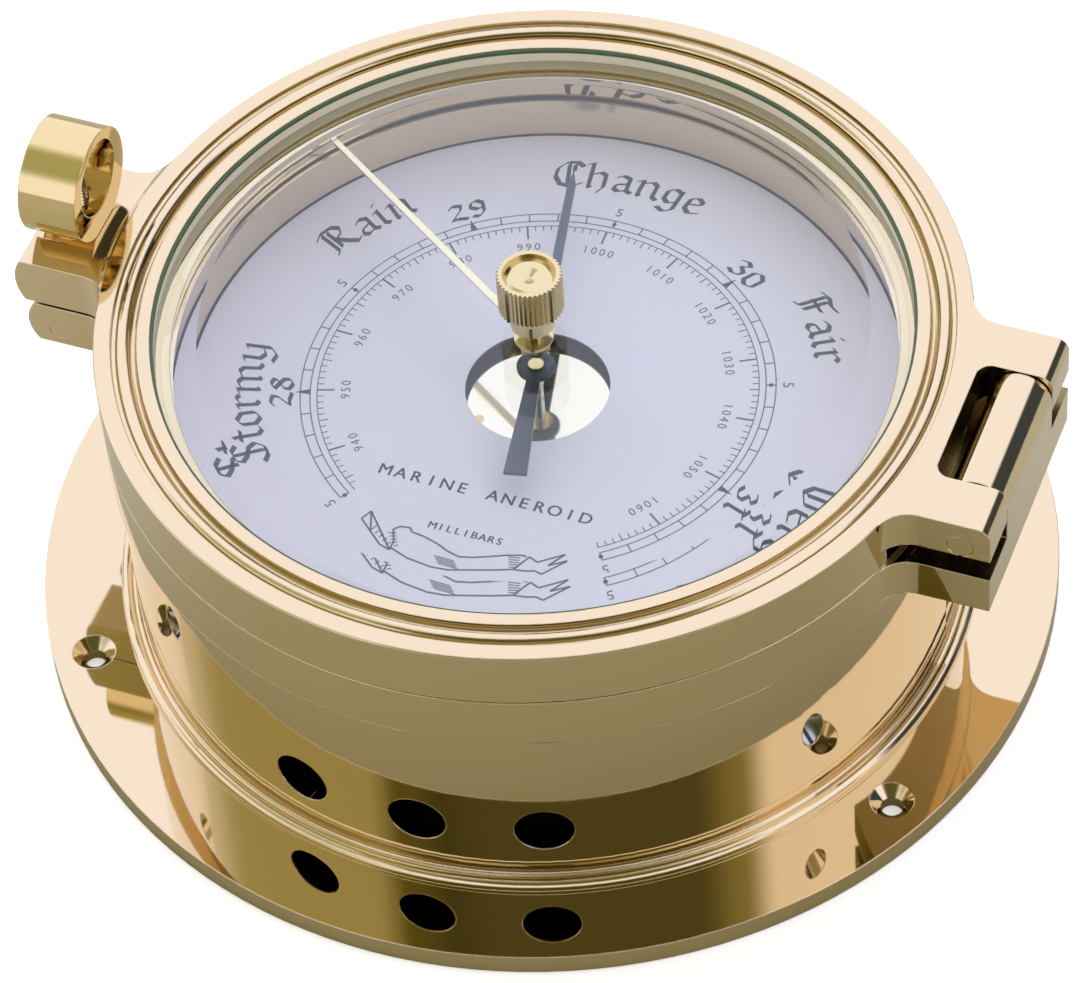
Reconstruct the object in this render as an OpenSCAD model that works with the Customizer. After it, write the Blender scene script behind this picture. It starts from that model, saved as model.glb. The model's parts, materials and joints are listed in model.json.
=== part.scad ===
// Aneroid barometer in a heavy turned brass ship's case.
// Origin: centre of the back face. +Z is the dial's normal, +X points to 3 o'clock (the hinge),
// +Y to 12 o'clock. All sizes are in millimetres.

/* [Case] */
// Outer diameter of the case rim and the bezel
rim_d = 149.4; // [148:0.2:190]
// Height of the case from its back to the seam under the bezel
case_h = 52.6; // [52.6:0.2:70]
// Height of the thicker band at the top of the case
rim_band_h = 10.3; // [8:0.1:12]
// How far the rim band stands out from the drum
rim_step = 1.25; // [0.5:0.05:2]
// Wall of the drum
drum_wall = 3.6; // [3:0.1:4]
// Diameter of the three vent holes
vent_d = 10.2; // [6:0.1:12]
// Height of the vent holes' centres
vent_z = 17.2; // [15:0.1:22]
// Angle between neighbouring vent holes
vent_pitch = 17; // [12:1:25]
// Diameter of the sloping holes for the locking screws
lock_hole_d = 4.4; // [3:0.1:5]

/* [Mounting flange] */
// How far the flange reaches past the rim
flange_ledge = 15.3; // [14:0.1:30]
// Thickness of the flange
flange_t = 4; // [3.5:0.1:6]
// Diameter of the mounting screw holes
mount_hole_d = 3.8; // [3:0.1:6]
// Diameter of their countersinks
countersink_d = 7.6; // [7:0.1:12]
// Distance of the mounting holes from the flange's edge
mount_inset = 7.1; // [6.5:0.1:8]
// Turn of the flange's hole pattern from 12 o'clock
flange_turn = 4.8; // [-8:0.1:8]

/* [Bezel and glass] */
// Height of the bezel
bezel_h = 11.15; // [11:0.05:16]
// Diameter of the glass
glass_d = 132.4; // [128:0.2:132.4]
// Thickness of the glass
glass_t = 5.7; // [3:0.1:6]
// Width of the bevel on the glass
bevel_w = 9; // [4:0.5:14]
// Depth of the bevel on the glass
bevel_drop = 2; // [1:0.1:2.2]
// Width of the glass retaining ring's visible face
ring_face_w = 2.2; // [1.8:0.1:2.2]

/* [Hinge] */
// Distance of the hinge pin from the rim
hinge_reach = 7.9; // [7.9:0.1:12]
// Diameter of the hinge pin
hinge_pin_d = 4.5; // [3:0.1:5.5]
// Overall width of the hinge
hinge_w = 44.6; // [36:0.2:56]
// Width of the window between the bezel's two fingers
window_w = 25.8; // [16:0.2:27]
// Radius of the hinge barrel
barrel_r = 5.2; // [4.6:0.1:5.2]
// Thickness of the bezel's fingers
finger_t = 7.5; // [7:0.1:8]

/* [Clamp] */
// Distance of the swing bolt from the rim
clamp_reach = 9.8; // [9.8:0.1:13]
// Width of the clamp lugs
clamp_w = 26; // [22:0.5:34]
// Diameter of the swing bolt
bolt_d = 4.8; // [4:0.1:5.6]
// Diameter of the swing bolt's pivot pin
pivot_pin_d = 3; // [2:0.1:3.5]
// Outer diameter of the ring nut
ring_d = 20.4; // [18:0.2:24]
// Diameter of the ring nut's eye
eye_d = 13.8; // [10:0.2:14]
// Length of the ring nut along its eye
ring_w = 10.6; // [8:0.2:10.6]

/* [Dial and hands] */
// Diameter of the dial
dial_d = 120.6; // [96:0.2:121]
// Thickness of the dial
dial_t = 0.5; // [0.4:0.1:1]
// Diameter of the hole in the middle of the dial
dial_hole_d = 25; // [16:0.5:34]
// Depth of the dial below the seam
dial_drop = 8.8; // [8:0.1:10]
// Length of the pointer from its axis to its tip
pointer_len = 46.4; // [36:0.2:56]
// Length of the pointer's tail
tail_len = 24.5; // [14:0.5:30]
// Direction of the pointer, counter-clockwise from 3 o'clock
pointer_angle = 102; // [60:1:140]
// Length of the set hand
set_hand_len = 60; // [40:0.5:60]
// Direction of the set hand, counter-clockwise from 3 o'clock
set_hand_angle = 146; // [125:1:235]

/* [Set knob] */
// Diameter of the knurled head
knob_d = 11.2; // [9:0.1:16]
// Height of the knob above the glass
knob_h = 12.1; // [10:0.1:16]
// Number of knurl flutes
knob_flutes = 40; // [20:1:60]
// Height of the knob's fluted head
knob_head_h = 7.9; // [5:0.1:8]
// Depth of the knob's flutes
flute_depth = 0.5; // [0.2:0.05:0.6]

/* [Movement] */
// Diameter of the capsule
capsule_d = 42; // [30:0.5:46]
// Thickness of the capsule
capsule_t = 8; // [6:0.1:8]
// Gear module of the pinion and the sector
gear_module = 0.25; // [0.25:0.01:0.3]
// Teeth of the pinion
pinion_teeth = 16; // [16:2:20]
// Turns of the pointer for one turn of the sector
gear_ratio = 8; // [8:1:8]
// Distance from the sector's axis to the finger that moves it
finger_arm = 8; // [7:0.1:9]
// Length of the crank that the link moves
crank_arm = 3.7; // [3.4:0.1:4.2]

/* [Hidden] */
$fn = 72;

// Clearances: turning fits, loose location fits, and the gap between two closed faces
run_fit = 0.06;
loose_fit = 0.2;
face_gap = 0.15;
eps = 0.01;

// Case
rim_r = rim_d / 2;
drum_r = rim_r - rim_step;
bore_r = drum_r - drum_wall;
flange_r = rim_r + flange_ledge;
mount_r = flange_r - mount_inset;
mount_count = 3;
countersink_h = (countersink_d - mount_hole_d) / 2;
web_t = 4;
web_w = 20;
web_r = bore_r - web_w;
bead_r = 1.1;
cover_t = 1.6;
cover_rebate = 2.2;
cover_r = web_r + 13;
cover_screw_r = cover_r - 2.4;
web_screw_r = bore_r - 3;
screw_count = 4;
rim_z = case_h - rim_band_h;
lock_at = [[-128, rim_z - 9.5], [-32, rim_z - 19.5]];
lock_tilt = 55;

// Dial surround seat: a ledge inside the rim band
seat_z = case_h - 2;
ledge_t = 2.8;
ledge_r = bore_r - 2.8;
surround_seat_r = bore_r + 0.8;
spigot_h = 4;
spigot_r = bore_r - 1.3;
dial_r = dial_d / 2;
surround_r = dial_r + 0.3;
dial_z = case_h - dial_drop;

// Bezel
bezel_z = case_h + face_gap;
bezel_top = bezel_z + bezel_h;
glass_r = glass_d / 2;
ring_r = glass_r + 1.1;
ring_inner_r = ring_r - ring_face_w;
ring_top = bezel_top - 0.15;
glass_top = ring_top - 1.15;
glass_z = glass_top - glass_t;
gasket_t = 0.4;
gasket_w = 2.1;
glass_edge_z = glass_top - bevel_drop;
bezel_inner_r = glass_r - 4.7;
groove_cut = 2;

// Hinge
pin_x = rim_r + hinge_reach;
pin_z = bezel_top - barrel_r;
hinge_wall_x = pin_x + barrel_r;
knuckle_gap = 0.3;
lug_fillet = 6;
case_lug_bottom = rim_z + 1.7;
case_lug_top = case_h - 0.7;
window_x = rim_r + 0.5;

// Clamp
bolt_x = -(rim_r + clamp_reach);
seat_drop = 1.7;
seat_top = bezel_top - seat_drop;
flare_r = 6.3;
flare_w = sqrt(pow(flare_r, 2) - pow(flare_r - seat_drop, 2));
clamp_lug_z = rim_z + 0.9;
clamp_lug_top = case_h - 0.5;
pivot_z = clamp_lug_z + 2.95;
eye_r = 2.9;
bolt_slot = bolt_d + 0.8;
ring_r_out = ring_d / 2;
nut_z = seat_top + face_gap;
ring_z = nut_z + ring_r_out - 0.75;
eye_z = ring_z + 1.6;
bolt_top = eye_z - eye_d / 2 + 4.6;
boss_r = 5;
relief_w = 13;

// Movement heights, upward from the web and downward from the dial
base_z = flange_t + web_t;
base_t = 2.5;
base_top = base_z + base_t;
base_plate_r = bore_r - 3.5;
plate_t = 1.5;
top_plate_z = dial_z - dial_t - 2 - plate_t;
top_plate_r = 42;
pillar_r = 2.5;
pillar_at = [for (a = [50, 160, 270]) 37 * [cos(a), sin(a)]];
train_z = top_plate_z - 10.3;
train_posts = [[-8, 8], [-8, -8], [20, 13], [20, -13]];
capsule_z = base_top + 1;
capsule_stud_r = 2.5;
capsule_top = capsule_z + capsule_t;
bridge_top = capsule_top + 3.5;
spring_t = 1;
spring_top = bridge_top + spring_t;
lever_t = 1.2;
lever_w = 3;

// Gear train
pinion_r = gear_module * pinion_teeth / 2;
sector_r = pinion_r * gear_ratio;
sector_teeth = pinion_teeth * gear_ratio;
sector_x = pinion_r + sector_r + 0.02;
sector_z = top_plate_z - 5.3;
sector_t = 1.5;
tail_t = 0.8;
finger_ball_z = sector_z + sector_t / 2;
shaft_z = finger_ball_z - finger_arm;
finger_x = sector_x + finger_arm;
bracket_x = [finger_x + 3, finger_x + 14];
bracket_t = 1.6;
crank_x = finger_x + 8.7;
crank_t = 1.6;
link_x = crank_x + crank_t / 2 + 0.3;
link_t = 0.8;
link_pin_r = 0.45;
lever_pin_z = spring_top + lever_t / 2;
lever_root_x = -30;
arbor_r = 0.95;
thin_arbor_r = 0.8;
hairspring_z = train_z + plate_t + 1.2;

// Hands
bush_top = dial_z + 5.9;
pointer_z = dial_z + 4.8;
pointer_t = 0.7;
set_shaft_r = 1.5;
washer_z = glass_z - 0.5;
set_hand_z = washer_z - 0.8;
set_nut_z = set_hand_z - 1.5;

BRASS = [0.83, 0.66, 0.33];
SATIN_BRASS = [0.78, 0.62, 0.34];
GILT = [0.90, 0.76, 0.45];
STEEL = [0.62, 0.64, 0.67];
SLATE = [0.38, 0.42, 0.47];
SILVER = [0.82, 0.82, 0.88];

// Points along a circular arc
function arc(c, r, a0, a1, n) =
    [for (i = [0:n]) c + r * [cos(a0 + (a1 - a0) * i / n), sin(a0 + (a1 - a0) * i / n)]];
// A point at a radius and an angle
function at_angle(r, a) = [r * cos(a), r * sin(a)];
// Outline of gear teeth with straight flanks, between two angles
function tooth_ring(r, teeth, from, to) = [
    for (i = [from:to], c = [[-0.26, -1.2], [-0.14, 0.8], [0.14, 0.8], [0.26, -1.2]])
        at_angle(r + c[1] * gear_module, (i + c[0]) * 360 / teeth)];

// A flat spiral that starts and ends at 9 o'clock
function spiral(r0, r1, turns, steps) =
    [for (i = [0:steps]) at_angle(r0 + (r1 - r0) * i / steps, 180 + 360 * turns * i / steps)];

// A round bar between two heights
module post(x, y, r, z0, z1) translate([x, y, z0]) cylinder(r = r, h = z1 - z0);
// A round bar along Y
module bar_y(x, z, r, y0, y1) translate([x, y0, z]) rotate([-90, 0, 0]) cylinder(r = r, h = y1 - y0);
// A round bar along X
module bar_x(y, z, r, x0, x1) translate([x0, y, z]) rotate([0, 90, 0]) cylinder(r = r, h = x1 - x0);
// A flat ring
module ring(r_out, r_in, z0, z1) translate([0, 0, z0]) difference() {
    cylinder(r = r_out, h = z1 - z0);
    translate([0, 0, -1]) cylinder(r = r_in, h = z1 - z0 + 2);
}
// A side profile in X and Z, extruded along Y about its middle
module along_y(w) rotate([90, 0, 0]) translate([0, 0, -w / 2]) linear_extrude(w) children();

// Plan of a lug that stands out from the rim towards +X, with a fillet at each root
module lug_plan(w, reach) {
    cx = sqrt(pow(rim_r + lug_fillet, 2) - pow(w / 2 + lug_fillet, 2));
    cy = w / 2 + lug_fillet;
    t1 = [cx, cy] * rim_r / (rim_r + lug_fillet);
    translate([rim_r - 12, -w / 2]) square([reach - rim_r + 12, w]);
    for (s = [-1, 1]) scale([1, s]) difference() {
        polygon([[rim_r - 12, w / 2 - 1], [cx, w / 2 - 1], [cx, cy], t1, t1 * 0.94]);
        translate([cx, cy]) circle(r = lug_fillet);
    }
}
// A round bar along each sloping locking screw hole, between two depths
module lock_bars(r, d0, d1) for (p = lock_at) rotate(p[0]) translate([drum_r, 0, p[1]])
    rotate([0, -90 - lock_tilt, 0]) translate([0, 0, d0]) cylinder(r = r, h = d1 - d0);
// A screw whose slotted head is below and whose shank points up
module screw_up(x, y, z, head_r, head_h, shank_r, shank_h) difference() {
    union() {
        post(x, y, head_r, z, z + head_h);
        post(x, y, shank_r, z + head_h - eps, z + head_h + shank_h);
    }
    translate([x - head_r, y - 0.35, z - 1]) cube([2 * head_r, 0.7, 1 + head_h * 0.4]);
}

module mounting_flange() color(BRASS) difference() {
    cylinder(r = flange_r, h = flange_t);
    translate([0, 0, -1]) cylinder(r = web_r + 8, h = flange_t + 2);
    translate([0, 0, -1]) cylinder(r = cover_r + loose_fit, h = cover_rebate + 1);
    for (i = [0:mount_count - 1]) rotate(90 + flange_turn + i * 360 / mount_count)
        translate([mount_r, 0, 0]) {
            translate([0, 0, -1]) cylinder(d = mount_hole_d, h = flange_t + 2);
            translate([0, 0, flange_t - countersink_h])
                cylinder(d1 = mount_hole_d, d2 = countersink_d + 0.4, h = countersink_h + 0.2);
        }
    for (i = [0:screw_count - 1]) rotate(45 + i * 360 / screw_count) {
        translate([cover_screw_r, 0, -1]) cylinder(r = 1.05, h = flange_t + 2);
        translate([web_screw_r, 0, -1]) cylinder(r = 1.6, h = flange_t + 2);
        translate([web_screw_r, 0, -1]) cylinder(r = 3.1, h = 3);
    }
}

// Drum with its web, foot bead, vents and sloping screw holes
module case_drum() color(BRASS) difference() {
    union() {
        translate([0, 0, flange_t]) cylinder(r = drum_r, h = rim_z - flange_t);
        foot_bead();
    }
    translate([0, 0, flange_t - 1]) cylinder(r = web_r, h = case_h);
    translate([0, 0, base_z]) cylinder(r = bore_r, h = case_h);
    for (i = [-1:1]) rotate(-87 + i * vent_pitch) translate([bore_r - 3, 0, vent_z]) rotate([0, 90, 0])
        cylinder(d = vent_d, h = drum_wall + 8);
    for (i = [0:screw_count - 1]) rotate(45 + i * 360 / screw_count)
        translate([web_screw_r, 0, flange_t - 1]) cylinder(r = 1.35, h = 4);
    for (i = [0:2]) rotate(20 + i * 120) translate([web_r + 6, 0, flange_t - 1]) {
        cylinder(r = 1.6, h = web_t + 2);
        cylinder(r = 3.1, h = 1 + 2);
    }
    lock_bars(lock_hole_d / 2, -9, 14);
}
// Rim band on a spigot in the drum, with the hinge lug, its knuckle and the clamp lug
module case_rim() color(BRASS) difference() {
    union() {
        translate([0, 0, rim_z]) cylinder(r = rim_r, h = case_h - rim_z);
        translate([0, 0, rim_z - spigot_h]) cylinder(r = bore_r, h = spigot_h + 1);
        translate([0, 0, case_lug_bottom]) linear_extrude(case_lug_top - case_lug_bottom)
            lug_plan(hinge_w, hinge_wall_x);
        knuckle();
        intersection() {
            translate([0, 0, clamp_lug_z]) linear_extrude(clamp_lug_top - clamp_lug_z)
                mirror([1, 0]) lug_plan(clamp_w, rim_r + clamp_reach + 5.4);
            along_y(clamp_w + 40) union() {
                translate([bolt_x + 1.6, (clamp_lug_z + clamp_lug_top) / 2]) circle(r = 7);
                translate([bolt_x + 1.6, clamp_lug_z - 1]) square([60, 20]);
            }
        }
    }
    translate([0, 0, rim_z - spigot_h - 1])
        cylinder(r = spigot_r, h = seat_z - ledge_t - rim_z + spigot_h + 1);
    translate([0, 0, rim_z - 1]) cylinder(r = ledge_r, h = case_h);
    translate([0, 0, seat_z]) cylinder(r = surround_seat_r, h = case_h);
    bar_y(pin_x, pin_z, hinge_pin_d / 2, -hinge_w / 2 - 1, hinge_w / 2 + 1);
    bar_y(bolt_x, pivot_z, pivot_pin_d / 2, -clamp_w / 2 - 1, clamp_w / 2 + 1);
    translate([bolt_x - 20, -3.15, clamp_lug_z - 5]) cube([20 + eye_r + 0.7, 6.3, 30]);
}
module foot_bead() translate([0, 0, flange_t]) rotate_extrude()
    polygon(concat([[drum_r - 1, 0], [drum_r + 2 * bead_r + 0.6, 0]],
        arc([drum_r + bead_r + 0.6, 0.7], bead_r, 0, 150, 8),
        arc([drum_r + 0.6, 1.9], 0.6, 270, 180, 4), [[drum_r - 1, 1.9]]));
module knuckle() along_y(window_w - 2 * knuckle_gap) union() {
    translate([pin_x, pin_z]) circle(r = barrel_r);
    translate([pin_x - barrel_r, case_lug_bottom]) square([2 * barrel_r, pin_z - case_lug_bottom]);
}

module flange_screws() color(STEEL) for (i = [0:screw_count - 1]) rotate(45 + i * 360 / screw_count)
    screw_up(web_screw_r, 0, 0.3, 2.9, 1.6, 1.3, 5);

module back_cover() color(BRASS) difference() {
    translate([0, 0, cover_rebate - cover_t]) cylinder(r = cover_r, h = cover_t);
    for (i = [0:screw_count - 1]) rotate(45 + i * 360 / screw_count)
        translate([cover_screw_r, 0, -1]) cylinder(r = 1.1, h = 6);
    translate([lever_root_x - 5, 0, -1]) cylinder(r = 4, h = 6);
}
module back_cover_screws() color(STEEL) for (i = [0:screw_count - 1]) rotate(45 + i * 360 / screw_count)
    screw_up(cover_screw_r, 0, 0.05, 2, cover_rebate - cover_t - 0.05, 1, cover_t + 1);

module hinge_pin() color(STEEL) bar_y(pin_x, pin_z, hinge_pin_d / 2, -hinge_w / 2 + 0.1, hinge_w / 2 - 0.1);
module clamp_pivot_pin() color(SATIN_BRASS)
    bar_y(bolt_x, pivot_z, pivot_pin_d / 2, -clamp_w / 2 + 0.05, clamp_w / 2 - 0.05);

module locking_screws() color(STEEL) difference() {
    lock_bars(lock_hole_d / 2 - 0.03, 3.4, 9.5);
    for (p = lock_at) rotate(p[0]) translate([drum_r, 0, p[1]]) rotate([0, -90 - lock_tilt, 0])
        translate([-5, -0.35, 2]) cube([10, 0.7, 2.4]);
}

module dial_surround() color(BRASS) {
    ring(surround_seat_r - loose_fit, surround_r, seat_z, case_h - 0.4);
    ring(surround_r + 1.4, surround_r, dial_z + 0.2, seat_z + eps);
}
module dial_plate() color(SILVER) ring(dial_r, dial_hole_d / 2, dial_z - dial_t, dial_z);
module dial_feet() color(SATIN_BRASS) for (a = [20, 140, 260])
    post(36 * cos(a), 36 * sin(a), 1.8, top_plate_z + plate_t, dial_z - dial_t);

module movement_base_plate() color(SATIN_BRASS) difference() {
    translate([0, 0, base_z]) cylinder(r = base_plate_r, h = base_t);
    post(0, 0, capsule_stud_r, base_z - 1, base_top + 1);
    for (p = pillar_at) post(p[0], p[1], 1.3, base_z - 1, base_top + 1);
    for (i = [0:2]) rotate(20 + i * 120) post(web_r + 6, 0, 1.3, base_z - 1, base_top + 1);
    translate([lever_root_x - 5, 0, base_z - 1]) cylinder(r = 2 + run_fit, h = base_t + 2);
}
module base_plate_screws() color(STEEL) for (i = [0:2]) rotate(20 + i * 120)
    screw_up(web_r + 6, 0, flange_t + 0.2, 2.8, 1.6, 1.3, web_t + 0.7);

module movement_pillars() color(SATIN_BRASS) for (p = pillar_at) {
    post(p[0], p[1], pillar_r, base_top, top_plate_z);
    post(p[0], p[1], 1.3, base_z, base_top + eps);
    post(p[0], p[1], 1.3, top_plate_z - eps, top_plate_z + plate_t + 0.4);
}
module movement_top_plate() color(GILT) difference() {
    translate([0, 0, top_plate_z]) cylinder(r = top_plate_r, h = plate_t);
    post(0, 0, arbor_r + run_fit, top_plate_z - 1, top_plate_z + plate_t + 1);
    post(sector_x, 0, thin_arbor_r + run_fit, top_plate_z - 1, top_plate_z + plate_t + 1);
    for (p = pillar_at) post(p[0], p[1], 1.3, top_plate_z - 1, top_plate_z + plate_t + 1);
    for (p = train_posts) post(p[0], p[1], 0.9, top_plate_z - 1, top_plate_z + plate_t + 1);
}
module train_plate() color(GILT) difference() {
    translate([-12, -17, train_z]) cube([35.5, 34, plate_t]);
    post(0, 0, arbor_r + run_fit, train_z - 1, train_z + plate_t + 1);
    post(sector_x, 0, thin_arbor_r + run_fit, train_z - 1, train_z + plate_t + 1);
    for (p = train_posts) post(p[0], p[1], 0.9, train_z - 1, train_z + plate_t + 1);
}
module train_pillars() color(SATIN_BRASS) for (p = train_posts) {
    post(p[0], p[1], 1.6, train_z + plate_t, top_plate_z);
    post(p[0], p[1], 0.9, train_z, top_plate_z + plate_t);
}
module shaft_brackets() color(SATIN_BRASS) for (x = bracket_x) difference() {
    translate([x, -1.9, shaft_z - 2.2]) cube([bracket_t, 3.8, top_plate_z - shaft_z + 2.2]);
    bar_x(0, shaft_z, thin_arbor_r + run_fit, x - 1, x + bracket_t + 1);
}

// Sealed capsule of two corrugated discs
module capsule() color(GILT) {
    r = capsule_d / 2;
    n = 4;
    wave = 0.45;
    mid = capsule_t / 2;
    upper = [for (i = [0:6 * n]) [4 + (r - 5) * i / (6 * n),
        mid - wave + wave * cos(360 * i / 6) - 1.2 * i / (6 * n)]];
    translate([0, 0, capsule_z + mid]) rotate_extrude()
        polygon(concat([[0, -mid]], [for (p = upper) [p[0], -p[1]]],
            [[r, -0.8], [r, 0.8]], [for (i = [6 * n:-1:0]) upper[i]], [[0, mid]]));
    post(0, 0, capsule_stud_r, base_z - 3.2, capsule_z + 0.1);
}
module capsule_nut() color(STEEL) difference() {
    translate([0, 0, base_z - 2.6]) cylinder(r = 5, h = 2.6, $fn = 6);
    post(0, 0, capsule_stud_r, base_z - 4, base_z + 1);
}
module capsule_post() color(SATIN_BRASS) {
    post(0, 0, 2, capsule_top, spring_top + 1.6);
    bar_y(0, spring_top + 0.6, 0.6, -4, 1.9);
}
module spring_bridge() color(SATIN_BRASS) difference() {
    translate([lever_root_x - 10, -9, base_top]) cube([10, 18, bridge_top - base_top]);
    post(lever_root_x - 5, 0, 2 + run_fit, base_top - 1, base_top + 7);
    for (y = [-5.5, 5.5]) post(lever_root_x - 5, y, 1.2, bridge_top - 6, bridge_top + 1);
}
module main_spring() color(STEEL) difference() {
    translate([lever_root_x - 10, -9, bridge_top]) cube([44, 18, spring_t]);
    post(0, 0, 2.2, bridge_top - 1, spring_top + 1);
    for (y = [-5.5, 5.5]) post(lever_root_x - 5, y, 1.2, bridge_top - 1, spring_top + 1);
}
module spring_screws() color(STEEL) for (y = [-5.5, 5.5]) difference() {
    union() {
        post(lever_root_x - 5, y, 2.3, spring_top, spring_top + 1.6);
        post(lever_root_x - 5, y, 1.2, bridge_top - 5.5, spring_top + eps);
    }
    translate([lever_root_x - 8, y - 0.35, spring_top + 0.9]) cube([6, 0.7, 2]);
}
module adjusting_screw() color(SATIN_BRASS)
    screw_up(lever_root_x - 5, 0, base_z - 2.6, 3.4, 2.4, 2, base_t + 6);

// Flat spiral of five turns between the collet and the stud
module hairspring() color(STEEL) {
    turns = 5;
    steps = 20 * turns;
    r0 = 1.95;
    r1 = 8.2;
    strip = 0.2;
    outer = spiral(r0 + strip, r1 + strip, turns, steps);
    translate([0, 0, hairspring_z]) linear_extrude(0.8)
        polygon(concat(spiral(r0, r1, turns, steps), [for (i = [steps:-1:0]) outer[i]]));
}
module hairspring_stud() color(SATIN_BRASS) post(-9.2, 0, 0.85, train_z + plate_t, hairspring_z + 1.2);

module main_lever() color(SATIN_BRASS) {
    translate([2, crank_arm - lever_w / 2, spring_top]) cube([crank_x + crank_t / 2 - 2, lever_w, lever_t]);
    bar_x(crank_arm, lever_pin_z, link_pin_r, crank_x, link_x + link_t + 0.3);
}
module link() color(STEEL) difference() {
    translate([link_x, crank_arm - 1.3, lever_pin_z - 1.1]) cube([link_t, 2.6, shaft_z - lever_pin_z + 2.2]);
    bar_x(crank_arm, lever_pin_z, link_pin_r + 0.08, link_x - 1, link_x + 2);
    for (dy = [-0.25, 0]) bar_x(crank_arm + dy, shaft_z, link_pin_r + 0.08, link_x - 1, link_x + 2);
}
// Horizontal shaft with the crank that the link moves and the ball finger that moves the sector
module rocking_shaft() color(STEEL) {
    bar_x(0, shaft_z, thin_arbor_r, finger_x - 0.6, bracket_x[1] + bracket_t + 0.6);
    translate([crank_x - crank_t / 2, 0, shaft_z - 0.7]) cube([crank_t, crank_arm + 0.9, 1.4]);
    bar_x(crank_arm, shaft_z, link_pin_r, crank_x, link_x + link_t + 0.3);
    post(finger_x, 0, 0.35, shaft_z, finger_ball_z);
    translate([finger_x, 0, finger_ball_z]) sphere(r = 0.6);
}
module sector_gear() color(GILT) translate([sector_x, 0, 0]) difference() {
    union() {
        translate([0, 0, sector_z]) linear_extrude(sector_t) difference() {
            polygon(concat([[0, 0]],
                tooth_ring(sector_r, sector_teeth, sector_teeth / 2 - 8, sector_teeth / 2 + 8)));
            polygon(concat(arc([0, 0], sector_r - 2.5, 164, 196, 8), arc([0, 0], 5, 192, 168, 4)));
        }
        post(0, 0, 2.4, sector_z, sector_z + sector_t);
        translate([0, -1.6, finger_ball_z - tail_t / 2]) cube([finger_arm + 1.6, 3.2, tail_t]);
    }
    post(0, 0, thin_arbor_r, sector_z - 1, sector_z + sector_t + 1);
    translate([finger_arm - 1.8, -0.85, finger_ball_z - 2]) cube([5, 1.7, 4]);
}
module sector_arbor() color(STEEL)
    post(sector_x, 0, thin_arbor_r, train_z + 0.3, top_plate_z + plate_t - 0.2);

module pointer_arbor() color(STEEL) {
    post(0, 0, arbor_r, train_z + 0.3, bush_top - 0.4);
    translate([0, 0, sector_z - 0.5]) linear_extrude(sector_t + 1) rotate(180 / pinion_teeth)
        polygon(tooth_ring(pinion_r, pinion_teeth, 0, pinion_teeth - 1));
}
module hairspring_collet() color(SATIN_BRASS) ring(1.9, arbor_r, hairspring_z - 0.2, hairspring_z + 1);
module pointer() color(SLATE) translate([0, 0, pointer_z]) rotate(pointer_angle) linear_extrude(pointer_t)
    difference() {
        union() {
            circle(r = 3.35);
            polygon([[0, -1.05], [pointer_len - 3, -0.7], [pointer_len, 0], [pointer_len - 3, 0.7],
                [0, 1.05], [-tail_len, 2], [-tail_len, -2]]);
        }
        circle(r = 1.35);
    }
module pointer_bush() color(BRASS) difference() {
    union() {
        post(0, 0, 1.35, pointer_z - 1, bush_top);
        post(0, 0, 2.2, pointer_z - 1.2, pointer_z);
    }
    post(0, 0, arbor_r, pointer_z - 2, bush_top - 0.4);
}

// Bezel: rim, fillet groove, bead and cove outside the glass, hinge fingers and clamp lug
module bezel_ring() color(BRASS) difference() {
    union() {
        bezel_section();
        difference() {
            translate([0, 0, bezel_top - finger_t]) linear_extrude(finger_t) difference() {
                lug_plan(hinge_w, hinge_wall_x);
                translate([window_x + 2.5, -window_w / 2]) square([30, window_w]);
                translate([window_x, -window_w / 2 + 2.5]) square([30, window_w - 5]);
                for (s = [-1, 1]) translate([window_x + 2.5, s * (window_w / 2 - 2.5)]) circle(r = 2.5);
            }
            // keeps the grooves open where the ear meets the ring
            translate([0, 0, bezel_top - groove_cut]) cylinder(r = rim_r - 1.5, h = groove_cut + 1);
        }
        intersection() {
            translate([0, 0, bezel_z]) linear_extrude(seat_top - bezel_z)
                mirror([1, 0]) lug_plan(clamp_w, rim_r + clamp_reach + 6.7);
            along_y(clamp_w + 40) union() {
                translate([bolt_x + 2.3, (bezel_z + seat_top) / 2]) circle(r = 9);
                translate([bolt_x + 2.3, bezel_z - 1]) square([60, 20]);
            }
        }
        clamp_flare();
    }
    translate([0, 0, bezel_z - 1]) cylinder(r = bezel_inner_r, h = 40);
    translate([0, 0, glass_z - gasket_t]) cylinder(r = glass_r + loose_fit, h = 40);
    translate([0, 0, glass_edge_z + 0.1]) cylinder(r = ring_r, h = 40);
    // the fingers' rounded outer ends
    along_y(hinge_w + 10) difference() {
        translate([hinge_wall_x - 2.5, bezel_top - 2.5]) square([5, 5]);
        translate([hinge_wall_x - 2.5, bezel_top - 2.5]) circle(r = 2.5);
    }
    bar_y(pin_x, pin_z, hinge_pin_d / 2 + run_fit, -hinge_w / 2 - 1, hinge_w / 2 + 1);
    translate([bolt_x - 20, -bolt_slot / 2, bezel_z - 5]) cube([20 + bolt_slot / 2, bolt_slot, 30]);
    nut_relief();
}
module bezel_section() rotate_extrude() polygon(concat(
    [[ring_inner_r - 8, bezel_z], [rim_r - 0.2, bezel_z], [rim_r, bezel_z + 0.2], [rim_r, bezel_top - 0.2],
        [rim_r - 0.2, bezel_top], [rim_r - 2.9, bezel_top], [rim_r - 3.1, bezel_top - 0.75]],
    arc([ring_r + 2.5, bezel_top - 1.2], 1.2, 20, 165, 10),
    arc([ring_r + 0.7, bezel_top - 1.05], 0.65, 0, -180, 6),
    [[ring_r, bezel_top - 0.15], [ring_inner_r - 8, bezel_top - 0.15]]));
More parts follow.
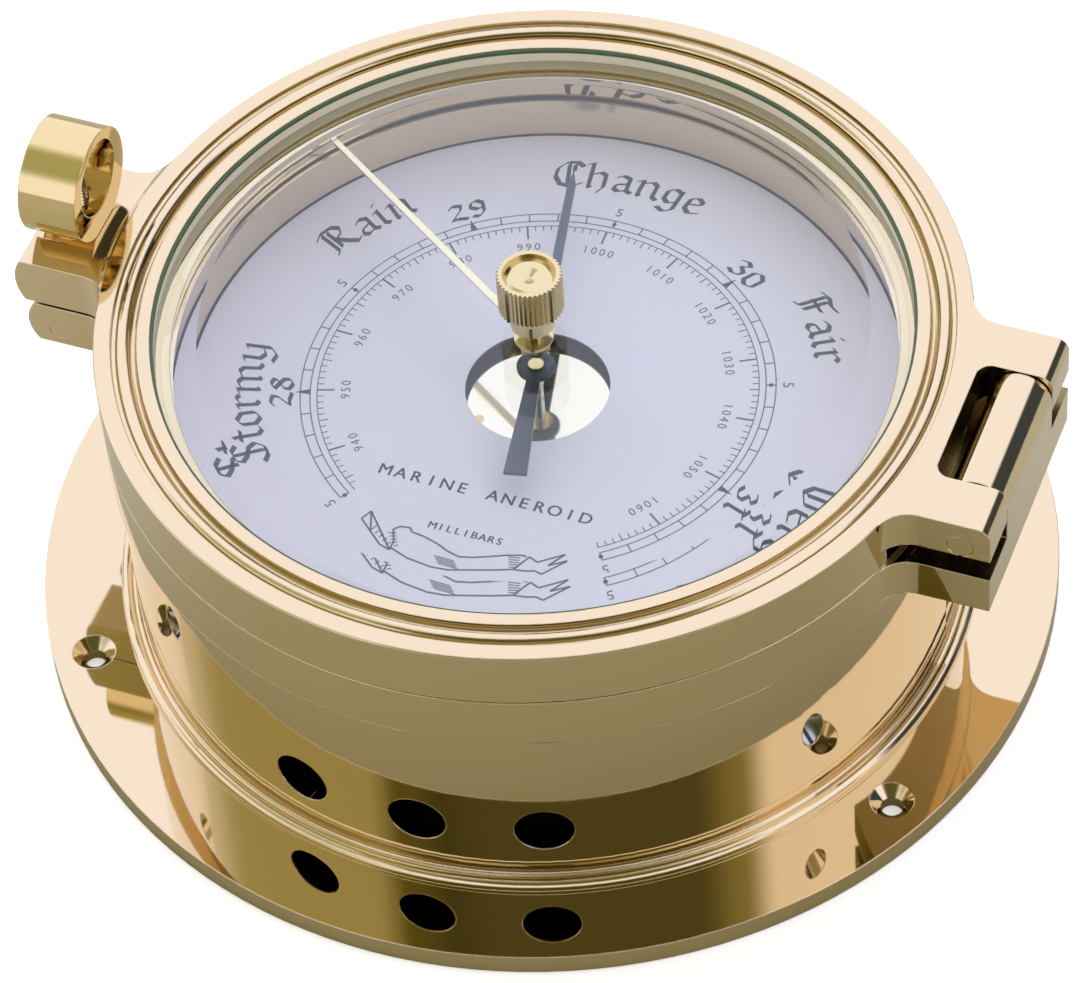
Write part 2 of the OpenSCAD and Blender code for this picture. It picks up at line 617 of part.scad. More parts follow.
// Cove that carries the bezel's edge down to the clamp lug
module clamp_flare() intersection() {
    rotate_extrude() polygon(concat([[rim_r - 1, seat_top - 1], [rim_r + flare_w, seat_top - 1]],
        arc([rim_r + flare_w, seat_top + flare_r], flare_r, 270, 180 + asin(1 - seat_drop / flare_r), 8),
        [[rim_r - 1, bezel_top]]));
    translate([-rim_r - 30, -clamp_w / 2 - lug_fillet, seat_top - 2]) cube([50, clamp_w + 2 * lug_fillet, 8]);
    translate([0, 0, seat_top - 2]) linear_extrude(8) mirror([1, 0]) lug_plan(clamp_w, rim_r + 20);
}
// Lets the closed nut's flat underside swing outward about the pivot pin
module nut_relief() difference() {
    translate([bolt_x - 20, -relief_w / 2, seat_top - 5]) cube([20, relief_w, 10]);
    bar_y(bolt_x, pivot_z, seat_top - pivot_z, -relief_w, relief_w);
}
module glass_gasket() color([0.55, 0.52, 0.42])
    ring(glass_r, glass_r - gasket_w, glass_z - gasket_t, glass_z);
module glass() color([0.8, 0.9, 0.85, 0.4]) difference() {
    rotate_extrude() polygon([[0, glass_z], [glass_r, glass_z], [glass_r, glass_edge_z - 0.1],
        [glass_r - bevel_w, glass_top], [0, glass_top]]);
    post(0, 0, set_shaft_r + run_fit, glass_z - 1, glass_top + 1);
}
module glass_retaining_ring() color(BRASS) ring(ring_r - 0.03, ring_inner_r, glass_edge_z + 0.3, ring_top);

// Knurled knob whose shaft passes through the glass and carries the set hand
module set_knob() color(BRASS) {
    r = knob_d / 2;
    z0 = glass_top + 0.05;
    top = z0 + knob_h;
    head_z = top - knob_head_h;
    difference() {
        translate([0, 0, head_z]) linear_extrude(knob_head_h) polygon([for (i = [0:2 * knob_flutes - 1])
            at_angle(r - flute_depth * (i % 2), i * 180 / knob_flutes)]);
        rotate_extrude() polygon([[0, top - 1.3], [0.9, top - 0.9], [1.9, top - 0.5], [r - 2.2, top - 0.6],
            [r - 1.2, top - 1], [r - 0.9, top + 1], [0, top + 1]]);
    }
    rotate_extrude() polygon([[0, z0], [r * 0.68, z0], [r * 0.68, head_z - 1.4], [r * 0.62, head_z - 1.3],
        [r * 0.8, head_z - 0.2], [r * 0.8, head_z + 0.1], [0, head_z + 0.1]]);
    post(0, 0, set_shaft_r, set_nut_z - 0.3, z0 + eps);
}
module friction_washer() color(STEEL) ring(3.4, set_shaft_r, washer_z, washer_z + 0.35);
module set_hand() color(GILT) difference() {
    translate([0, 0, set_hand_z]) rotate(set_hand_angle) linear_extrude(0.6) union() {
        circle(r = 3);
        polygon([[0, -0.65], [set_hand_len, -0.5], [set_hand_len, 0.5], [0, 0.65]]);
    }
    post(0, 0, set_shaft_r, set_hand_z - 1, set_hand_z + 2);
}
module set_hand_nut() color(BRASS) difference() {
    translate([0, 0, set_nut_z]) cylinder(r = 2.9, h = 1.4, $fn = 6);
    post(0, 0, set_shaft_r, set_nut_z - 1, set_nut_z + 2);
}

// Eye bolt with a grooved thread at its top
module swing_bolt() color(SATIN_BRASS) {
    pitch = 0.8;
    r = bolt_d / 2;
    threads = floor((bolt_top - nut_z + 2) / pitch);
    thread_z = bolt_top - 0.4 - threads * pitch;
    difference() {
        union() {
            bar_y(bolt_x, pivot_z, eye_r, -3, 3);
            post(bolt_x, 0, r - 0.45, pivot_z, thread_z + 0.1);
            translate([bolt_x, 0, 0]) rotate_extrude() polygon(concat([[0, thread_z]],
                [for (i = [0:threads - 1], c = [[r - 0.45, 0], [r, 0.3], [r, 0.5]])
                    [c[0], thread_z + (i + c[1]) * pitch]],
                [[r - 0.45, bolt_top - 0.4], [r - 0.8, bolt_top], [0, bolt_top]]));
        }
        bar_y(bolt_x, pivot_z, pivot_pin_d / 2 + run_fit, -5, 5);
    }
}
// Eye nut: a thick eccentric ring on a flat seat, tapped through its lower wall
module ring_nut() color(BRASS) difference() {
    union() {
        bar_x(0, ring_z, ring_r_out, bolt_x - ring_w / 2, bolt_x + ring_w / 2);
        post(bolt_x, 0, boss_r, nut_z, ring_z - 4);
    }
    bar_x(0, eye_z, eye_d / 2, bolt_x - ring_w, bolt_x + ring_w);
    translate([bolt_x - 15, -15, nut_z - 10]) cube([30, 30, 10]);
    post(bolt_x, 0, bolt_d / 2 + run_fit, nut_z - 1, eye_z);
}

mounting_flange();
case_drum();
case_rim();
flange_screws();
back_cover();
back_cover_screws();
hinge_pin();
clamp_pivot_pin();
locking_screws();
dial_surround();
dial_plate();
dial_feet();
movement_base_plate();
base_plate_screws();
movement_pillars();
movement_top_plate();
train_plate();
train_pillars();
shaft_brackets();
capsule();
capsule_nut();
capsule_post();
spring_bridge();
main_spring();
spring_screws();
adjusting_screw();
hairspring();
hairspring_stud();
main_lever();
link();
rocking_shaft();
sector_gear();
sector_arbor();
pointer_arbor();
hairspring_collet();
pointer();
pointer_bush();
bezel_ring();
glass();
glass_gasket();
glass_retaining_ring();
set_knob();
friction_washer();
set_hand();
set_hand_nut();
swing_bolt();
ring_nut();
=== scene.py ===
"""Looks for the ship's aneroid barometer: materials, dial print, small details, light and camera.

Lengths in the lists are millimetres in the row frame; MM turns them into metres.
"""
import json
import math

import bmesh
import bpy
from mathutils import Matrix, Vector


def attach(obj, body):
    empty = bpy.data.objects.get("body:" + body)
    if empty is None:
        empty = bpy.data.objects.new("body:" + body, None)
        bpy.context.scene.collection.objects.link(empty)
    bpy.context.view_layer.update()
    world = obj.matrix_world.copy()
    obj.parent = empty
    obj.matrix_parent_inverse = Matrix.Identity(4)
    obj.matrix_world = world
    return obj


MM = 0.001
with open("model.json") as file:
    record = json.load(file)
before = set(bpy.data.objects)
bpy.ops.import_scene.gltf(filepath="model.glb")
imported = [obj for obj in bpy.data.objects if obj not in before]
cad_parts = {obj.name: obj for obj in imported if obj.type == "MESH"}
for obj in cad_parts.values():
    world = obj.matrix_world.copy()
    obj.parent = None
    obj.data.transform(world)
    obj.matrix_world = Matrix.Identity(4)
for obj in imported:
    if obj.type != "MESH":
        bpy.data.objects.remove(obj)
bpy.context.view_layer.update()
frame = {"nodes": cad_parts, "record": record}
nodes = frame["nodes"]

# ---------------------------------------------------------------- camera
cam_data = bpy.data.cameras.new("camera")
cam = bpy.data.objects.new("camera", cam_data)
bpy.context.scene.collection.objects.link(cam)
cam_data.sensor_fit = "HORIZONTAL"
cam_data.sensor_width = 36
cam_data.lens = 181.3
cam_data.shift_x = 0.0111
cam_data.shift_y = 0.006
cam_data.clip_start = 0.05
cam_data.clip_end = 20
right = Vector((0.936, 0.3478, -0.0537)).normalized()
back = Vector((0.266, -0.5993, 0.7551)).normalized()
up = back.cross(right).normalized()
right = up.cross(back)
basis = Matrix((right, up, back)).transposed().to_4x4()
cam.matrix_world = Matrix.Translation(Vector((251.2, -573.9, 739.0)) * MM) @ basis
bpy.context.scene.camera = cam


# ---------------------------------------------------------------- materials
def principled(name, color, metallic=0.0, rough=0.4, ior=1.5, spec=0.5):
    """A new Principled material: the material, its node tree and its shader."""
    m = bpy.data.materials.new(name)
    m.use_nodes = True
    b = m.node_tree.nodes["Principled BSDF"]
    b.inputs["Base Color"].default_value = (*color, 1)
    b.inputs["Metallic"].default_value = metallic
    b.inputs["Roughness"].default_value = rough
    b.inputs["IOR"].default_value = ior
    b.inputs["Specular IOR Level"].default_value = spec
    return m, m.node_tree, b


def node(tree, kind, **values):
    """A new node with the given settings."""
    n = tree.nodes.new(kind)
    for k, v in values.items():
        setattr(n, k, v)
    return n


def vary_roughness(tree, bsdf, low, high, scale):
    """Fine polish marks: noise that only moves the roughness between two values."""
    tc = node(tree, "ShaderNodeTexCoord")
    nz = node(tree, "ShaderNodeTexNoise")
    nz.inputs["Scale"].default_value = scale
    nz.inputs["Detail"].default_value = 4
    mr = node(tree, "ShaderNodeMapRange")
    mr.inputs["From Min"].default_value = 0.35
    mr.inputs["From Max"].default_value = 0.7
    mr.inputs["To Min"].default_value = low
    mr.inputs["To Max"].default_value = high
    tree.links.new(tc.outputs["Object"], nz.inputs["Vector"])
    tree.links.new(nz.outputs["Fac"], mr.inputs["Value"])
    tree.links.new(mr.outputs["Result"], bsdf.inputs["Roughness"])


def round_edges(tree, bsdf, radius):
    """Shade sharp edges as if rounded by a radius in millimetres."""
    bv = node(tree, "ShaderNodeBevel", samples=4)
    bv.inputs["Radius"].default_value = radius * MM
    tree.links.new(bv.outputs["Normal"], bsdf.inputs["Normal"])


def brass(name, color, low, high, scale=60, edge=0.35):
    m, t, b = principled(name, color, metallic=1.0, rough=low)
    vary_roughness(t, b, low, high, scale)
    if edge:
        round_edges(t, b, edge)
    return m


POLISHED = (0.75, 0.61, 0.385)
mat_case = brass("polished_brass", POLISHED, 0.025, 0.06)
mat_wall = brass("turned_brass_wall", (0.78, 0.66, 0.46), 0.12, 0.22, 90, 0.0)
mat_knob = brass("knob_brass", (0.72, 0.60, 0.33), 0.10, 0.2, 200, 0.08)
mat_satin = brass("satin_brass", (0.72, 0.52, 0.24), 0.2, 0.32, 120, 0.1)
mat_gilt = brass("gilt_plate", (0.84, 0.77, 0.62), 0.05, 0.1, 70, 0.1)
mat_hand = brass("gilt_hand", (0.86, 0.76, 0.52), 0.25, 0.35, 90, 0.0)
mat_steel = brass("bright_steel", (0.50, 0.51, 0.53), 0.2, 0.35, 150, 0.1)

mat_slate, t_, b_ = principled("slate_pointer", (0.055, 0.075, 0.105), 0.5, 0.35)
vary_roughness(t_, b_, 0.3, 0.42, 90)
mat_dial, t_, b_ = principled("lavender_dial", (0.90, 0.835, 0.97), 0.0, 0.5)
vary_roughness(t_, b_, 0.45, 0.6, 40)
mat_ink, t_, b_ = principled("dial_ink", (0.085, 0.09, 0.10), 0.0, 0.55)
vary_roughness(t_, b_, 0.5, 0.62, 300)
mat_cream, t_, b_ = principled("gasket_cream", (0.78, 0.68, 0.52), 0.0, 0.5)
vary_roughness(t_, b_, 0.4, 0.6, 200)
mat_gold = brass("yellow_brass", (0.74, 0.58, 0.28), 0.04, 0.09, 60)
mat_seal, t_, b_ = principled("green_seal", (0.08, 0.14, 0.05), 0.0, 0.5)
vary_roughness(t_, b_, 0.4, 0.6, 200)

mat_glass, t_, b_ = principled("bevelled_glass", (0.97, 1.0, 0.975), 0.0, 0.0, ior=1.52)
b_.inputs["Transmission Weight"].default_value = 1.0
lp = node(t_, "ShaderNodeLightPath")
mx = node(t_, "ShaderNodeMath", operation="MAXIMUM")
t_.links.new(lp.outputs["Is Shadow Ray"], mx.inputs[0])
t_.links.new(lp.outputs["Is Diffuse Ray"], mx.inputs[1])
tr = node(t_, "ShaderNodeBsdfTransparent")
tr.inputs["Color"].default_value = (0.93, 0.95, 0.93, 1)
mix = node(t_, "ShaderNodeMixShader")
t_.links.new(mx.outputs[0], mix.inputs[0])
t_.links.new(b_.outputs[0], mix.inputs[1])
t_.links.new(tr.outputs[0], mix.inputs[2])
t_.links.new(mix.outputs[0], t_.nodes["Material Output"].inputs["Surface"])

# Black lacquer for the blackened brass parts; the same material also paints the case's bore near-black as
# painted shade
mat_lacquer_and_bore_shade, t_, b_ = principled("black_lacquer_and_bore_shade", (0.012, 0.011, 0.009), 0.0, 0.6, spec=0.2)
vary_roughness(t_, b_, 0.5, 0.7, 80)

BY_NODE = {
    "dial_surround": mat_wall, "dial_plate": mat_dial, "pointer": mat_slate, "glass": mat_glass,
    "glass_gasket": mat_cream, "hinge_pin": mat_case, "clamp_pivot_pin": mat_case,
    "friction_washer": mat_knob, "set_knob": mat_knob, "set_hand": mat_hand,
    "set_hand_nut": mat_knob, "swing_bolt": mat_gold, "ring_nut": mat_gold,
    "pointer_bush": mat_knob, "pointer_arbor": mat_steel,
}
BY_SLOT = {
    "turned_brass": mat_case, "satin_brass": mat_satin, "gilt_brass": mat_gilt, "steel": mat_steel,
    "silvered_dial": mat_dial, "slate_pointer": mat_slate, "bevelled_glass": mat_glass,
    "glass_seal": mat_seal, "blackened_brass": mat_lacquer_and_bore_shade,
}
slot_of = {s["node"]: s["material_slot"] for s in frame["record"]["subparts"]}
for name, obj in nodes.items():
    obj.data.materials.clear()
    obj.data.materials.append(BY_NODE.get(name) or BY_SLOT[slot_of[name]])


def repaint(name, mat, test):
    """Give the faces that pass the test another material; the test gets centre (mm) and normal."""
    obj = nodes[name]
    obj.data.materials.append(mat)
    index = len(obj.data.materials) - 1
    turn = obj.matrix_world.to_3x3()
    for poly in obj.data.polygons:
        c, n = obj.matrix_world @ poly.center / MM, turn @ poly.normal
        if test(c, n):
            poly.material_index = index


bpy.context.view_layer.update()
mat_ground, t_, b_ = principled("ground_edge", (0.96, 0.86, 0.62), 0.0, 0.6)
vary_roughness(t_, b_, 0.5, 0.7, 400)
# Painted shade: a darker copy of the brass for the walls of the bezel's grooves
mat_groove_shade = brass("groove_shade_brass", (0.46, 0.36, 0.16), 0.08, 0.15, 120, 0.0)
# Painted shade: dark brass under the bezel's ear and on the hinge lug beneath it
mat_gap_shade = brass("shaded_brass", (0.26, 0.21, 0.09), 0.15, 0.3, 120, 0.1)
# Painted shade: the dial's underside is painted dark slate
mat_under_shade, t_, b_ = principled("dial_underside_shade", (0.055, 0.07, 0.085), 0.0, 0.5)
vary_roughness(t_, b_, 0.45, 0.6, 60)

BORE_R = 69.9               # just outside the case's bore
BORE_Z = (4.5, 47)          # height of the inside of the case that is painted near-black, as painted shade
HINGE_X = 73.5              # everything past this belongs to the hinge
HINGE_LUG = (30, 56)        # half width and top of the case's hinge lug
WINDOW = (13.2, 85)         # half width and far end of the slot in the bezel's ear
GROOVES = (67.2, 72.5)      # radii between which the bezel's grooves lie
GROOVE_Z = 61.5
GLASS_EDGE_R = 65
GLASS_HOLE_R = 8


def is_bore(c, n):
    return c.xy.length < BORE_R and BORE_Z[0] < c.z < BORE_Z[1] and n.z < 0.9


def is_under_hinge(c, n):
    return (c.x > HINGE_X and abs(c.y) < HINGE_LUG[0] and c.z < HINGE_LUG[1]
            and (n.z > 0.5 or n.x < -0.5))


def is_ear_gap(c, n):
    in_window = abs(c.y) < WINDOW[0] and c.x < WINDOW[1] and abs(n.z) < 0.3
    return c.x > HINGE_X and (n.z < -0.5 or in_window)


def is_groove_wall(c, n):
    return GROOVES[0] < c.xy.length < GROOVES[1] and c.z > GROOVE_Z and n.z < 0.5


# Painted shade: the inside of the case below the dial is painted near-black
for name in ("case_drum", "case_rim"):
    repaint(name, mat_lacquer_and_bore_shade, is_bore)
# Painted shade under the hinge: the lug's top, the ear's underside and the walls of its slot
repaint("case_rim", mat_gap_shade, is_under_hinge)
repaint("bezel_ring", mat_gap_shade, is_ear_gap)
# Painted shade in the bezel's grooves
repaint("bezel_ring", mat_groove_shade, is_groove_wall)
repaint("glass", mat_ground, lambda c, n: c.xy.length > GLASS_EDGE_R and abs(n.z) < 0.3)
# Painted reflection: the wall of the glass's hole takes the knob's brass, a painted image of the stem seen
# through the glass
repaint("glass", mat_knob, lambda c, n: c.xy.length < GLASS_HOLE_R and abs(n.z) < 0.3)
# Painted shade on the faces under the dial
repaint("dial_plate", mat_under_shade, lambda c, n: n.z < 0.5)


# ---------------------------------------------------------------- mesh helpers
def polar(r, a):
    return r * math.cos(math.radians(a)), r * math.sin(math.radians(a))


def prism(bm, pts, z0, z1):
    """Closed prism on a flat outline."""
    lo = [bm.verts.new((x * MM, y * MM, z0 * MM)) for x, y in pts]
    hi = [bm.verts.new((x * MM, y * MM, z1 * MM)) for x, y in pts]
    n = len(pts)
    bm.faces.new(lo[::-1])
    bm.faces.new(hi)
    for i in range(n):
        bm.faces.new((lo[i], lo[(i + 1) % n], hi[(i + 1) % n], hi[i]))


def piece(name, bm, body, mat):
    """A new object that rides on a body."""
    bmesh.ops.recalc_face_normals(bm, faces=bm.faces)
    me = bpy.data.meshes.new(name)
    bm.to_mesh(me)
    bm.free()
    o = bpy.data.objects.new(name, me)
    bpy.context.scene.collection.objects.link(o)
    me.materials.append(mat)
    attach(o, body)
    return o


# ---------------------------------------------------------------- dial print
DIAL_Z = 43.8
Z0, Z1 = DIAL_Z - 0.01, DIAL_Z + 0.025
ink = bmesh.new()


def line(p, q, w):
    """A straight stroke of width w."""
    d = Vector((q[0] - p[0], q[1] - p[1]))
    if d.length < 1e-6:
        return
    n = Vector((-d.y, d.x)).normalized() * (w / 2)
    prism(ink, [(p[0] + n.x, p[1] + n.y), (q[0] + n.x, q[1] + n.y),
                (q[0] - n.x, q[1] - n.y), (p[0] - n.x, p[1] - n.y)], Z0, Z1)


def path(points, w):
    for p, q in zip(points, points[1:]):
        line(p, q, w)


def arc_band(r, w, a0, a1, steps):
    for i in range(steps):
        b0, b1 = a0 + (a1 - a0) * i / steps, a0 + (a1 - a0) * (i + 1) / steps
        prism(ink, [polar(r - w / 2, b0), polar(r + w / 2, b0), polar(r + w / 2, b1),
                    polar(r - w / 2, b1)], Z0, Z1)


def tick(r0, r1, a, w):
    line(polar(r0, a), polar(r1, a), w)


glyph_cache = {}


def glyph_mesh(ch):
    """One character of the built-in sans font as a thin solid."""
    if ch not in glyph_cache:
        cu = bpy.data.curves.new("glyph", "FONT")
        cu.body = ch
        cu.align_x = "CENTER"
        cu.size = 1.0
        cu.extrude = 0.5
        cu.resolution_u = 3
        o = bpy.data.objects.new("glyph", cu)
        bpy.context.scene.collection.objects.link(o)
        bpy.context.view_layer.update()
        dg = bpy.context.evaluated_depsgraph_get()
        me = bpy.data.meshes.new_from_object(o.evaluated_get(dg))
        bpy.data.objects.remove(o)
        bpy.data.curves.remove(cu)
        glyph_cache[ch] = me
    return glyph_cache[ch]


def put_char(ch, x, y, size, turn, stretch=1.0):
    """A sans character centred on x with its baseline at y, turned about that point."""
    if ch == " ":
        return
    m = (Matrix.Translation((x * MM, y * MM, (Z0 + Z1) / 2 * MM))
         @ Matrix.Rotation(math.radians(turn), 4, "Z")
         @ Matrix.Diagonal((size * stretch * MM, size * MM, (Z1 - Z0) * MM, 1)))
    tmp = bmesh.new()
    tmp.from_mesh(glyph_mesh(ch))
    bmesh.ops.transform(tmp, matrix=m, verts=tmp.verts)
    me = bpy.data.meshes.new("tmp")
    tmp.to_mesh(me)
    tmp.free()
    ink.from_mesh(me)
    bpy.data.meshes.remove(me)


def arc_text(text, r, a, size, pitch, stretch=1.0):
    """Characters side by side on a circle, their tops outward."""
    n = len(text)
    for i, ch in enumerate(text):
        b = a - math.degrees((i - (n - 1) / 2) * pitch / r)
        x, y = polar(r, b)
        put_char(ch, x, y, size, b - 90, stretch)


# Scales: inches of mercury outside, millibars inside
IN_MID, IN_STEP = 90.6, -72.5
MB_AT_1000, MB_STEP = 91.6, -2.144


def inch_angle(v):
    return IN_MID + IN_STEP * (v - 29.5)


def mb_angle(v):
    return MB_AT_1000 + MB_STEP * (v - 1000)


A_LOW, A_HIGH = inch_angle(27.5), inch_angle(31.5)
R_OUT, R_IN, R_MB = 40.9, 39.2, 38.0
for r, w in ((R_OUT, 0.2), (R_IN, 0.2), (R_MB, 0.17)):
    arc_band(r, w, A_LOW, A_HIGH, 180)
for i in range(41):
    a = inch_angle(27.5 + i / 10)
    tick(R_IN, R_OUT, a, 0.22)
for i in range(27, 32):
    for v, big in ((i, True), (i + 0.5, False)):
        if not 27.5 <= v <= 31.5:
            continue
        a = inch_angle(v)
        if big:
            prism(ink, [polar(R_OUT + 0.9, a), polar(R_IN + 0.1, a + 0.9), polar(R_IN + 0.1, a - 0.9)],
                  Z0, Z1)
        else:
            prism(ink, [polar((R_IN + R_OUT) / 2 + 0.45 * math.sin(t), a + 0.6 * math.cos(t))
                        for t in [k * math.pi / 4 for k in range(8)]], Z0, Z1)
for v in range(934, 1069):
    length, w = (3.0, 0.34) if v % 10 == 0 else ((1.6, 0.2) if v % 5 == 0 else (1.1, 0.18))
    tick(R_MB, R_MB - length, mb_angle(v), w)
for v in range(940, 1061, 10):
    arc_text(str(v), 32.3, mb_angle(v), 2.35, 1.5, 0.95)
for v in (27.5, 28.5, 29.5, 30.5, 31.5):
    arc_text("5", 42.1, inch_angle(v), 2.7, 1.7)

# Broad-nib letters. Each glyph is a width and a list of strokes; x-height is 1.
GLYPHS = {
    "i": (.45, [[(-.1, .84), (.07, .98), (.07, .14), (.22, .0)], [(.02, 1.28), (.16, 1.42)]]),
    "n": (.86, [[(-.1, .84), (.07, .98), (.07, .06), (.14, .0)],
                [(.07, .78), (.38, 1.0), (.54, .84), (.54, .14), (.7, .0)]]),
    "m": (1.3, [[(-.1, .84), (.07, .98), (.07, .06), (.14, .0)],
                [(.07, .78), (.36, 1.0), (.5, .84), (.5, .06), (.58, .0)],
                [(.5, .78), (.8, 1.0), (.94, .84), (.94, .14), (1.1, .0)]]),
    "r": (.62, [[(-.1, .84), (.07, .98), (.07, .12), (.2, .0)], [(.07, .76), (.34, 1.02), (.48, .86)]]),
    "a": (.8, [[(.05, .84), (.24, 1.0), (.46, .86), (.46, .14), (.62, .0)],
               [(.46, .56), (.1, .4), (.05, .14), (.2, .0), (.46, .16)]]),
    "o": (.78, [[(.3, 1.02), (.06, .8), (.06, .2), (.28, -.02), (.52, .2), (.52, .8), (.26, 1.02)]]),
    "e": (.68, [[(.08, .46), (.46, .66), (.46, .84), (.27, 1.0), (.06, .8), (.06, .2), (.26, -.02),
                 (.54, .16)]]),
    "g": (.78, [[(.5, .88), (.26, 1.02), (.06, .8), (.06, .3), (.24, .1), (.5, .3)],
                [(.5, 1.0), (.5, -.2), (.26, -.44), (.0, -.28)]]),
    "h": (.84, [[(-.08, 1.4), (.07, 1.5), (.07, .06), (.14, .0)],
                [(.07, .78), (.38, 1.0), (.54, .84), (.54, .1), (.36, -.26)]]),
    "t": (.5, [[(.02, 1.16), (.1, 1.28), (.1, .16), (.26, -.02), (.4, .1)], [(-.1, .94), (.36, .94)]]),
    "y": (.8, [[(-.1, .88), (.07, 1.0), (.07, .24), (.26, .04), (.52, .26)],
               [(.44, .94), (.54, 1.0), (.54, -.1), (.28, -.44), (-.02, -.32)]]),
    "S": (.98, [[(.8, 1.26), (.58, 1.5), (.22, 1.42), (.1, 1.12), (.3, .86), (.62, .72), (.76, .4),
                 (.54, .04), (.2, -.02), (-.06, .2)], [(.42, 1.42), (.42, .1)]]),
    "R": (1.1, [[(.12, 1.4), (.12, .14), (-.04, -.02)],
                [(-.14, 1.26), (.12, 1.5), (.56, 1.48), (.74, 1.2), (.62, .9), (.3, .76)],
                [(.36, .76), (.62, .3), (.84, .0), (1.0, .12)], [(.32, 1.36), (.32, .26)]]),
    "C": (1.0, [[(.84, 1.22), (.64, 1.48), (.3, 1.44), (.04, 1.08), (-.02, .56), (.14, .12), (.46, -.02),
                 (.84, .22)], [(.38, 1.34), (.38, .16)], [(.56, 1.34), (.56, .9)]]),
    "F": (1.0, [[(.16, 1.4), (.16, .12), (-.02, -.02)], [(-.06, 1.3), (.22, 1.5), (.56, 1.38), (.9, 1.52)],
                [(.38, 1.34), (.38, .2)], [(.1, .8), (.7, .86)]]),
    "V": (1.06, [[(-.1, 1.3), (.1, 1.48), (.16, .3), (.42, -.02), (.8, .3), (.82, 1.2), (.62, 1.5)],
                 [(.46, 1.36), (.46, .2)]]),
    "D": (1.1, [[(.12, 1.36), (.12, .1)], [(-.1, 1.34), (.32, 1.5), (.74, 1.3), (.9, .8), (.74, .24),
                                           (.36, -.02), (-.04, .1)], [(.38, 1.3), (.38, .2)]]),
    " ": (.5, []),
    "2": (.78, [[(.06, 1.12), (.24, 1.4), (.54, 1.26), (.5, .92), (.06, .16), (.3, .2), (.64, .02)]]),
    "8": (.78, [[(.52, 1.26), (.3, 1.42), (.08, 1.16), (.52, .6), (.52, .24), (.3, .0), (.06, .24),
                 (.08, .56), (.5, 1.06), (.52, 1.26)]]),
    "9": (.78, [[(.52, .8), (.3, .66), (.06, .9), (.1, 1.24), (.34, 1.42), (.54, 1.16), (.52, .4),
                 (.3, .02), (.06, .14)]]),
    "3": (.74, [[(.06, 1.2), (.3, 1.42), (.52, 1.2), (.26, .82), (.54, .56), (.5, .2), (.24, .0),
                 (.0, .16)]]),
    "0": (.8, [[(.3, 1.42), (.06, 1.14), (.06, .26), (.28, .0), (.54, .26), (.54, 1.14), (.3, 1.42)]]),
    "1": (.56, [[(.04, 1.2), (.24, 1.42), (.24, .14), (.4, .0)]]),
}
NIB = math.radians(40)


def nib_stroke(points, place, nib):
    """Sweep a flat nib along a stroke: each step is the hull of the nib at both ends."""
    for p, q in zip(points, points[1:]):
        corners = []
        for c in (p, q):
            cx, cy = place(c)
            corners += [(cx - nib[0], cy - nib[1]), (cx + nib[0], cy + nib[1])]
        mid = (sum(c[0] for c in corners) / 4, sum(c[1] for c in corners) / 4)
        corners.sort(key=lambda c: math.atan2(c[1] - mid[1], c[0] - mid[0]))
        area = 0.5 * sum(corners[k][0] * corners[(k + 1) % 4][1] - corners[(k + 1) % 4][0] * corners[k][1]
                         for k in range(4))
        if abs(area) > 1e-4:
            prism(ink, corners, Z0, Z1)
            line(place(p), place(q), 0.26)
        else:
            d = Vector((nib[0], nib[1]))
            n = Vector((-d.y, d.x)).normalized() * 0.13
            a, b = corners[0], corners[2]
            prism(ink, [(a[0] + n.x, a[1] + n.y), (b[0] + n.x, b[1] + n.y), (b[0] - n.x, b[1] - n.y),
                        (a[0] - n.x, a[1] - n.y)], Z0, Z1)


def nib_word(word, r_base, angle, ux, uy, half):
    total = sum(GLYPHS[c][0] for c in word) * ux
    x = -total / 2
    for ch in word:
        w, strokes = GLYPHS[ch]
        mid = x + w * ux / 2
        a = angle - math.degrees(mid / (r_base + uy * 0.5))
        turn = math.radians(a - 90)
        ox, oy = polar(r_base, a)
        cs, sn = math.cos(turn), math.sin(turn)

        def place(c, w=w, ox=ox, oy=oy, cs=cs, sn=sn):
            gx, gy = (c[0] + 0.1 - w / 2) * ux, c[1] * uy
            return ox + gx * cs - gy * sn, oy + gx * sn + gy * cs

        nib = (half * math.cos(turn + NIB), half * math.sin(turn + NIB))
        for s in strokes:
            nib_stroke(s, place, nib)
        x += w * ux


for word, angle in (("Stormy", 202.0), ("Rain", 147.0), ("Change", 91.0), ("Fair", 33.0),
                    ("Very Dry", -24.0)):
    nib_word(word, 47.9, angle, 5.7, 4.0, 0.5)
for text, v in (("28", 28), ("29", 29), ("30", 30), ("31", 31)):
    nib_word(text, 42.2, inch_angle(v), 4.9, 2.75, 0.46)

for text, y, size, pitch, stretch in (("MARINE ANEROID", -26.6, 3.3, 2.78, 1.0),
                                      ("MILLIBARS", -35.4, 2.1, 1.5, 1.0)):
    for i, ch in enumerate(text):
        for shift in (-0.05, 0.05):
            put_char(ch, (i - (len(text) - 1) / 2) * pitch + shift, y, size, 0, stretch)

# A folded ribbon under the word, with a forked end on each side
LW = 0.34
path([(-11, -42), (-17, -35), (-18, -37), (-13, -41.4), (-11, -42), (-11, -40)], LW)
path([(-17, -35), (-15.6, -38.9)], LW)
path([(-11, -40), (-12, -37.6), (-11.2, -36.7), (-9.4, -36.4), (-8.8, -37.2)], LW)
path([(-11, -41.5), (-7.5, -42.8), (-3, -43.4), (0, -43.1), (3.5, -42), (7, -40.9), (10.3, -39.7)], LW)
path([(-8.8, -37.2), (-6.5, -37.5), (-3.8, -38.3), (-1.6, -39.3), (.6, -39.9), (3, -39.3), (5, -38.5),
      (8, -37.2), (10.5, -36.4), (11.5, -36.4)], LW)
path([(10.3, -39.7), (12, -36.3), (13.6, -37), (17.5, -34), (15.6, -37.1), (18.3, -35.2), (15.2, -39.2),
      (13.8, -38.9), (12.4, -39.4), (10.3, -39.7)], LW)
